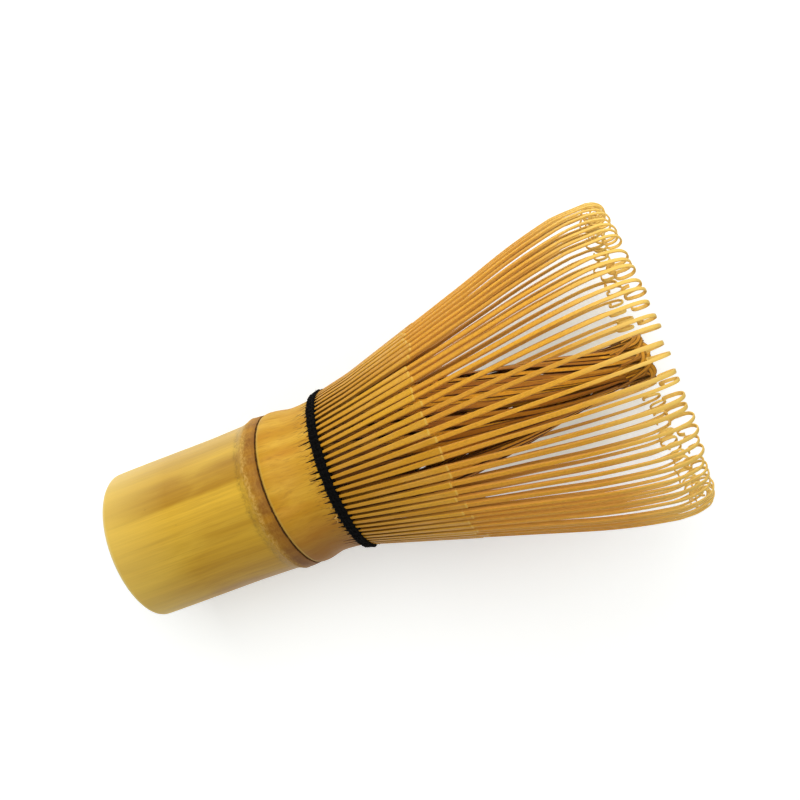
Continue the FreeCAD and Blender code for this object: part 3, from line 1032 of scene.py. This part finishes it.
def makeSkinMaterial():
    look = skinLook
    material, tree = newMaterial("bambooSkin")
    height = attribute(tree, "level")
    streaks = noise(tree, 0.03, 0.33, 3.0, 0.55)
    fibres = noise(tree, 0.02, 3.6, 3.0, 0.6)
    clouds = noise(tree, 0.3, 0.2, 3.0, 0.5, 0.4)
    crumbs = noise(tree, 1.6, 1.5, 4.0, 0.65)
    parts = addNode(tree, "ShaderNodeSeparateXYZ", {0: placeInMm(tree)}).outputs
    turn = calculate(tree, "ARCTAN2", parts[1], parts[0])
    tones = addNode(tree, "ShaderNodeFloatCurve", {"Value": between(tree, turn, -math.pi, math.pi)})
    for spot, value in look["tones"]:
        tones.mapping.curves[0].points.new(spot, value)
    tones.mapping.update()
    toneShare = plus(tree, times(tree, tones.outputs[0], 0.62), between(tree, streaks, 0.36, 0.64, 0.0, 0.42))
    skin = blendColour(tree, toneShare, look["golden"], look["olive"])
    skin = wash(tree, skin, look["pale"], clouds, 0.48, 0.75, 0.5)
    skin = wash(tree, skin, look["fibre"], fibres, 0.42, 0.75, 0.32)
    skin = wash(tree, skin, look["paleFoot"], height, 13, 0, 0.65)
    # painted light: the culm is made lighter on its -X side, where the lamps fall most
    skin = wash(tree, skin, look["paintedLitSide"], sizeOf(tree, plus(tree, turn, -0.15)), 2.1, 2.9, 0.2)

    # small dark blemishes, longer than wide
    flecks = addNode(tree, "ShaderNodeTexVoronoi", {
        "Vector": placeInMm(tree, 0.4), "Scale": 0.33, "Randomness": 1.0}).outputs["Distance"]
    patchy = between(tree, noise(tree, 1, 0.5), 0.5, 0.6, 0.0, 0.45)
    skin = blendColour(tree, times(tree, between(tree, flecks, 0.09, 0.03), patchy), skin, look["fleck"])

    # node band
    wander = times(tree, minus(tree, noise(tree, 0.2, 0.35), 0.5), 1.2)
    wandering = plus(tree, height, wander)
    bandSkin = wash(tree, look["bandDark"], look["band"], streaks, 0.4, 0.62)
    bandSkin = wash(tree, bandSkin, look["bandCrumb"], crumbs, 0.4, 0.7, 0.35)
    skin = blendColour(tree, between(tree, wandering, 26.6, 29.3, smooth=True), skin, bandSkin)
    smudge = times(tree, nearHeight(tree, wandering, look["smudgeHeight"], 0.8),
                   between(tree, crumbs, 0.38, 0.66, 0.05, 0.5))
    skin = blendColour(tree, smudge, skin, look["smudge"])
    scar = times(tree, nearHeight(tree, wandering, look["scarHeight"], 0.9),
                 between(tree, crumbs, 0.42, 0.62, 0.0, 0.6))
    skin = blendColour(tree, scar, skin, look["scar"])
    # painted shade: the band and sleeve are darkened on the side from the front round to +X, by the turn round the
    # axis, where shade falls on them
    paintedShadeSide = times(tree, between(tree, turn, -1.4, -0.7), between(tree, turn, 0.9, 0.0, 0.0, 0.75))
    bandWithPaintedShade = wash(tree, skin, look["paintedShadeBand"], height, 27, 29)
    skin = blendColour(tree, times(tree, paintedShadeSide, 0.9), skin, bandWithPaintedShade)

    # the sleeve above the groove, with short dark lines where fibres tore ahead of the splits
    sleeveSkin = wash(tree, look["sleeve"], look["sleevePale"], streaks, 0.4, 0.6)
    sleeveSkin = wash(tree, sleeveSkin, look["sleeveCloud"], clouds, 0.45, 0.66, 0.6)
    sleeveSkin = wash(tree, sleeveSkin, look["sleeveFibre"], fibres, 0.45, 0.75, 0.3)
    # painted shade: the sleeve is darkened on the same shaded side
    sleeveSkin = blendColour(tree, paintedShadeSide, sleeveSkin, look["paintedShadeSleeve"])
    sleeveSkin = wash(tree, sleeveSkin, look["sleeveDash"], noise(tree, 0.14, 2.6), 0.56, 0.74, 0.28)
    torn = times(tree, between(tree, noise(tree, 0.09, 4.6), 0.57, 0.64),
                 between(tree, height, 37.6, 40.4, 0.0, 0.75))
    sleeveSkin = blendColour(tree, torn, sleeveSkin, look["torn"])
    skin = wash(tree, skin, sleeveSkin, height, look["grooveHeight"], look["grooveHeight"] + 0.15)

    # the groove and its lips, with painted shade just below the groove, and a painted highlight on the rim of the
    # foot
    skin = blendColour(tree, times(tree, nearHeight(tree, height, 30.95, 0.3), 0.6), skin, look["lip"])
    # painted shade: a darker band just below the groove, where its edge shades the node band
    skin = blendColour(tree, times(tree, nearHeight(tree, height, 30.2, 0.6), 0.5), skin, look["bandDark"])
    worn = between(tree, crumbs, 0.3, 0.7, -0.07, 0.13)
    fromGroove = sizeOf(tree, minus(tree, height, look["grooveHeight"]))
    inGroove = between(tree, minus(tree, fromGroove, worn), 0.17, 0.06)
    skin = blendColour(tree, inGroove, skin, look["groove"])
    # painted highlight: the rounded rim of the foot is coloured pale, standing in for the reflection along its edge
    skin = wash(tree, skin, look["rim"], height, 0.8, 0.35, 0.8)

    # sawn foot and the bore show the pale wood
    across = vectorMath(tree, "LENGTH", placeInMm(tree, 0))["Value"]
    wood = wash(tree, look["cut"], look["pore"], noise(tree, 0.05, 5.0), 0.45, 0.7, 0.6)
    sawn = between(tree, plus(tree, height, times(tree, crumbs, 0.15)), 0.2, 0.08)
    woodShare = larger(tree, between(tree, across, 12.9, 12.6), sawn)
    skin = blendColour(tree, woodShare, skin, wood)

    cloudy = between(tree, clouds, 0.3, 0.7, look["roughness"] - 0.05, look["roughness"] + 0.08)
    bare = larger(tree, woodShare, larger(tree, scar, inGroove))
    rough = plus(tree, plus(tree, between(tree, height, 27.0, 28.6, 0.0, 0.16), cloudy), times(tree, bare, 0.35))
    grain = plus(tree, times(tree, fibres, 0.35), times(tree, plus(tree, scar, woodShare), times(tree, crumbs, 1.6)))
    finishMaterial(tree, skin, rough, 0.25, grain, 0.06)
    return material


outerLook = {
    "skin": colour(222, 166, 40), "skinDark": colour(198, 136, 28),
    "skinPatch": colour(224, 172, 84), "skinFibre": colour(140, 88, 28),
    "pared": colour(238, 176, 52), "paredOther": colour(220, 160, 52), "paredLow": colour(216, 150, 40),
    "paredFibre": colour(166, 106, 30),
    "tip": colour(252, 214, 112),
    "root": colour(190, 132, 30),
    "side": colour(224, 164, 74), "sideRootPaintedShade": colour(74, 40, 12),
    "edge": colour(236, 208, 104),
    "roughness": 0.42,
}


def makeOuterMaterial():
    look = outerLook
    material, tree = newMaterial("outerTineBamboo")
    height = addNode(tree, "ShaderNodeSeparateXYZ", {0: placeInMm(tree)}).outputs[2]
    tone, depth, across = (attribute(tree, name) for name in ("tone", "depth", "across"))
    fibres = noise(tree, 0.06, 7.0, 3.0, 0.6)
    skin = wash(tree, look["skin"], look["skinDark"], tone, 0.0, 1.0, 0.85)
    skin = wash(tree, skin, look["skinPatch"], noise(tree, 0.25, 0.5), 0.42, 0.68, 0.4)
    skin = wash(tree, skin, look["skinFibre"], fibres, 0.45, 0.75, 0.35)
    skin = wash(tree, skin, look["root"], height, 56, 43.5, 0.7)
    other = calculate(tree, "FRACT", times(tree, tone, 7.3))
    pared = blendColour(tree, other, look["pared"], look["paredOther"])
    lowShare = plus(tree, between(tree, height, 62, 84, 0.6, 0.0), times(tree, tone, 0.1))
    pared = blendColour(tree, lowShare, pared, look["paredLow"])
    pared = wash(tree, pared, look["paredFibre"], fibres, 0.4, 0.72, 0.45)

    # skin below the step, pared wood past it, and a pale edge between
    lowest, highest = (outerTine["stepHeight"] + side * outerTine["stepScatter"] for side in (-1, 1))
    pastBy = minus(tree, height, between(tree, tone, 0.0, 1.0, lowest, highest))
    past = between(tree, pastBy, -0.05, 0.05)
    face = blendColour(tree, past, skin, pared)
    face = wash(tree, face, look["edge"], sizeOf(tree, pastBy), 0.24, 0.12, 0.42)
    flank = larger(tree, between(tree, sizeOf(tree, across), 0.86, 0.97), between(tree, depth, -0.5, -0.9))
    # painted shade: the strips' flanks and backs go dark towards the thread, where the gaps between the strips are
    # in shade
    side = wash(tree, look["side"], look["sideRootPaintedShade"], height, 66, 46)
    face = blendColour(tree, times(tree, flank, 0.8), face, side)
    face = wash(tree, face, look["tip"], height, 86, 100, 0.85)
    rough = between(tree, past, 0, 1, look["roughness"], look["roughness"] + 0.1)
    finishMaterial(tree, face, rough, 0.2, fibres)
    return material


innerLook = {
    "light": colour(244, 172, 38),
    "dark": colour(168, 102, 24),
    "fibre": colour(146, 86, 22),
    # the next colour is painted shade, laid on the strands' edges and low down in the bundle
    "root": colour(70, 38, 11),
    "tip": colour(232, 178, 70),
    "roughness": 0.5,
}


def makeInnerMaterial():
    look = innerLook
    material, tree = newMaterial("innerTineBamboo")
    height = addNode(tree, "ShaderNodeSeparateXYZ", {0: placeInMm(tree)}).outputs[2]
    tone, across = attribute(tree, "tone"), attribute(tree, "across")
    fibres = noise(tree, 0.12, 6.0, 3.0, 0.6)
    wood = wash(tree, look["light"], look["dark"], tone, 0.0, 1.0)
    wood = wash(tree, wood, look["fibre"], fibres, 0.42, 0.75, 0.5)
    # painted shade: the strands' edges go near black, as the gaps between them look in shade
    wood = wash(tree, wood, look["root"], sizeOf(tree, across), 0.6, 0.92, 0.95)
    # painted shade: the bundle darkens towards its foot, inside the outer tines
    wood = wash(tree, wood, look["root"], height, 61, 45, 0.7)
    wood = wash(tree, wood, look["tip"], height, 93, 100, 0.25)
    finishMaterial(tree, wood, look["roughness"], 0.15, fibres)
    return material


# finishes of one mottled colour: two colours, the grain between them, and how rough and glossy
plainLooks = {
    "blackCotton": {
        "from": colour(4, 4, 4), "to": colour(12, 11, 11),
        "grain": (1, 9.0, 3.0, 0.7), "roughness": 0.9, "gloss": 0.08, "bump": 0.03,
    },
    "paintedSplitShade": {                 # painted shade: the sleeve's inner face and the cut sides of its splits, near black as the deep splits look in shade
        "from": colour(66, 38, 14), "to": colour(34, 19, 8),
        "grain": (0.1, 5.0, 3.0, 0.6), "roughness": 0.8, "gloss": 0.5, "bump": 0.04,
    },
    "paleWood": {
        "from": colour(246, 204, 112), "to": colour(208, 150, 58),
        "grain": (1, 3.0, 2.0, 0.6), "roughness": 0.6, "gloss": 0.5, "bump": None,
    },
}


def makePlainMaterial(name):
    look = plainLooks[name]
    material, tree = newMaterial(name)
    grain = noise(tree, *look["grain"])
    skin = wash(tree, look["from"], look["to"], grain, 0.35, 0.7)
    finishMaterial(tree, skin, look["roughness"], look["gloss"], grain if look["bump"] else None, look["bump"])
    return material


pithLook = {
    "pale": colour(226, 204, 158), "dark": colour(184, 146, 94), "speck": colour(126, 92, 52),
    "roughness": 0.85,
}


def makePithMaterial():
    look = pithLook
    material, tree = newMaterial("bambooPith")
    flakes = noise(tree, 1, 1.4, 4.0, 0.65)
    specks = noise(tree, 1, 6.0, 2.0, 0.6)
    pith = wash(tree, look["pale"], look["dark"], flakes, 0.35, 0.68)
    pith = wash(tree, pith, look["speck"], specks, 0.55, 0.75, 0.5)
    bump = plus(tree, flakes, times(tree, specks, 0.3))
    finishMaterial(tree, pith, look["roughness"], bump=bump, bumpDepth=0.25)
    return material


# the whisk, piece by piece

stripTree, twistTree, fuzzTree = makeStripTree(), makeTwistTree(), makeFuzzTree()
bambooSkin, outerBamboo, innerBamboo = makeSkinMaterial(), makeOuterMaterial(), makeInnerMaterial()
blackCotton, paintedSplitShade, paleWood = (makePlainMaterial(name) for name in ("blackCotton", "paintedSplitShade", "paleWood"))
bambooPith = makePithMaterial()
print("materials and trees made")

handleCulm = makeHandle()
handleCulm.data.materials.append(bambooSkin)
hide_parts("handle_culm")
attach(handleCulm, "handle")

sleevePiece = makeSleeve()
sleevePiece.data.materials.append(bambooSkin)
# painted shade: the sleeve's inner face and split sides take the near-black finish
sleevePiece.data.materials.append(paintedSplitShade)
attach(sleevePiece, "handle")

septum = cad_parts["node_septum"]
for place in septum.material_slots:
    place.material = bambooPith
print("handle made")

slivers = makeSlivers(stripTree, paleWood)
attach(slivers, "handle")

bindingThread, threadLacing, threadFuzz = makeThread(twistTree, fuzzTree, blackCotton)
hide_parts("binding_thread")
for piece in (bindingThread, threadLacing, threadFuzz):
    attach(piece, "handle")
print("thread made")

innerBundle = makeInnerTines(stripTree, innerBamboo)
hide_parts(*["inner_tines_%02d" % (group + 1) for group in range(whisk["groups"])])
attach(innerBundle, "handle")

for group, piece in enumerate(makeOuterTines(stripTree, outerBamboo)):
    number = "%02d" % (group + 1)
    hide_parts("outer_tines_" + number)
    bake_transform(piece)
print("tines made")


# camera, floor, backdrop and lamps

view = {
    "place": (-8.09, -176.84, 87.74),
    "right": (0.35822, 0.16360, 0.91922),
    "up": (-0.93366, 0.06277, 0.35268),
    "forward": (0.0, 0.98453, -0.17522),
    "lens": 44.73,
}


def makeCamera():
    data = bpy.data.cameras.new("camera")
    camera = addObject("camera", data)
    right, up, forward = (Vector(view[key]) for key in ("right", "up", "forward"))
    turn = Matrix((right, up, -forward)).transposed()
    camera.matrix_world = Matrix.Translation(Vector(view["place"]) * mm) @ turn.to_4x4()
    data.lens = view["lens"]
    data.sensor_width = 36
    data.clip_start, data.clip_end = 0.01, 20
    bpy.context.scene.camera = camera


stage = {
    "cardSize": 900,
    "cardFoot": 17.0,          # where the card meets the foot, and how it leans back
    "cardSlope": 0.1485,
    "shade": (0.855, 0.885, 0.88, 1),
    "glow": 0.42,
    # soft shades on the card: middle, half width and half height in metres, and how dark
    "shades": (
        {"middle": (0.001, 0.078), "reach": (0.029, 0.033), "from": 0.3, "tint": (0.77, 0.775, 0.71, 1)},
        {"middle": (-0.01, 0.052), "reach": (0.044, 0.08), "from": 0.25, "tint": (0.9, 0.905, 0.91, 1)},
    ),
    "middle": (0, 0.025, 0.05),
    "fadeFrom": 0.13, "fadeTo": 0.23,      # metres from the middle; further out the card is plain white
    "lampAim": 55,             # height that every lamp points at
    "skyLight": 0.28,          # light from all round; seen directly, the sky is plain white
}


def seenRays(tree):
    # 1 where the camera, a gloss or a clear surface sees the backdrop, 0 where it only lights
    rays = addNode(tree, "ShaderNodeLightPath").outputs
    return larger(tree, rays["Is Camera Ray"], larger(tree, rays["Is Glossy Ray"], rays["Is Transmission Ray"]))


def makeStageMaterial():
    material, tree = newMaterial("paperWhite")
    place = addNode(tree, "ShaderNodeTexCoord").outputs["Object"]
    white = (1, 1, 1, 1)
    tint = white
    for shade in stage["shades"]:
        (x, z), (wide, high) = shade["middle"], shade["reach"]
        local = vectorMath(tree, "SUBTRACT", place, (x, 0, z))[0]
        local = vectorMath(tree, "MULTIPLY", local, (1 / wide, 0, 1 / high))[0]
        spread = vectorMath(tree, "LENGTH", local)["Value"]
        share = between(tree, spread, 1.0, shade["from"], smooth=True)
        tint = blendColour(tree, share, tint, blendColour(tree, 1.0, tint, shade["tint"], "MULTIPLY"))
    seen = seenRays(tree)
    card = blendColour(tree, 1.0, tint, stage["shade"], "MULTIPLY")
    matt = addNode(tree, "ShaderNodeBsdfDiffuse", {"Color": card})
    glow = addNode(tree, "ShaderNodeEmission", {"Color": tint, "Strength": times(tree, seen, stage["glow"])})
    lit = addNode(tree, "ShaderNodeAddShader", {0: matt.outputs[0], 1: glow.outputs[0]})

    # plain white further out, and clear from behind
    away = vectorMath(tree, "DISTANCE", place, stage["middle"])["Value"]
    fade = times(tree, between(tree, away, stage["fadeFrom"], stage["fadeTo"], smooth=True), seen)
    plain = addNode(tree, "ShaderNodeEmission", {"Color": white, "Strength": 1.0})
    lit = addNode(tree, "ShaderNodeMixShader", {0: fade, 1: lit.outputs[0], 2: plain.outputs[0]})
    clear = addNode(tree, "ShaderNodeBsdfTransparent")
    facing = addNode(tree, "ShaderNodeNewGeometry").outputs["Backfacing"]
    both = addNode(tree, "ShaderNodeMixShader", {0: facing, 1: lit.outputs[0], 2: clear.outputs[0]})
    out = tree.nodes.new("ShaderNodeOutputMaterial")
    tree.links.new(both.outputs[0], out.inputs["Surface"])
    return material


def makeStage():
    half, foot = stage["cardSize"] / 2, stage["cardFoot"]
    rise = stage["cardSlope"] * half
    low, high = foot - rise, foot + rise
    corners = [(-half, low, -half), (half, low, -half), (half, high, half), (-half, high, half)]
    card = placeMesh("floor", corners, [(0, 1, 2, 3)])
    card.data.materials.append(makeStageMaterial())


lamps = {
    "key": {"place": (-165, -350, 130), "size": 340, "power": 1.15, "colour": (1.0, 0.985, 0.96)},
    "fill": {"place": (220, -330, 60), "size": 260, "power": 0.06, "colour": (1.0, 0.99, 0.98)},
    "upperSide": {"place": (-330, -70, 60), "size": 220, "power": 0.34, "colour": (1.0, 0.97, 0.92)},
    "lowerSide": {"place": (330, -10, 40), "size": 220, "power": 0.14, "colour": (1.0, 0.97, 0.92)},
}


def makeLamps():
    for name, lamp in lamps.items():
        data = bpy.data.lights.new(name, "AREA")
        data.size = lamp["size"] * mm
        data.energy = lamp["power"]
        data.color = lamp["colour"]
        piece = addObject(name, data)
        place = Vector(lamp["place"]) * mm
        aim = Vector((0, 0, stage["lampAim"])) * mm
        piece.location = place
        piece.rotation_mode = "QUATERNION"
        piece.rotation_quaternion = (aim - place).to_track_quat("-Z", "Y")
    world = bpy.data.worlds.new("studio")
    bpy.context.scene.world = world
    world.use_nodes = True
    tree = world.node_tree
    tree.nodes.clear()
    strength = between(tree, seenRays(tree), 0, 1, stage["skyLight"], 1.0)
    sky = addNode(tree, "ShaderNodeBackground", {"Color": (1, 1, 1, 1), "Strength": strength})
    out = tree.nodes.new("ShaderNodeOutputWorld")
    tree.links.new(sky.outputs[0], out.inputs["Surface"])


makeCamera()
makeStage()
makeLamps()
bpy.context.scene.view_settings.view_transform = "Standard"
print("camera, stage and lamps made")
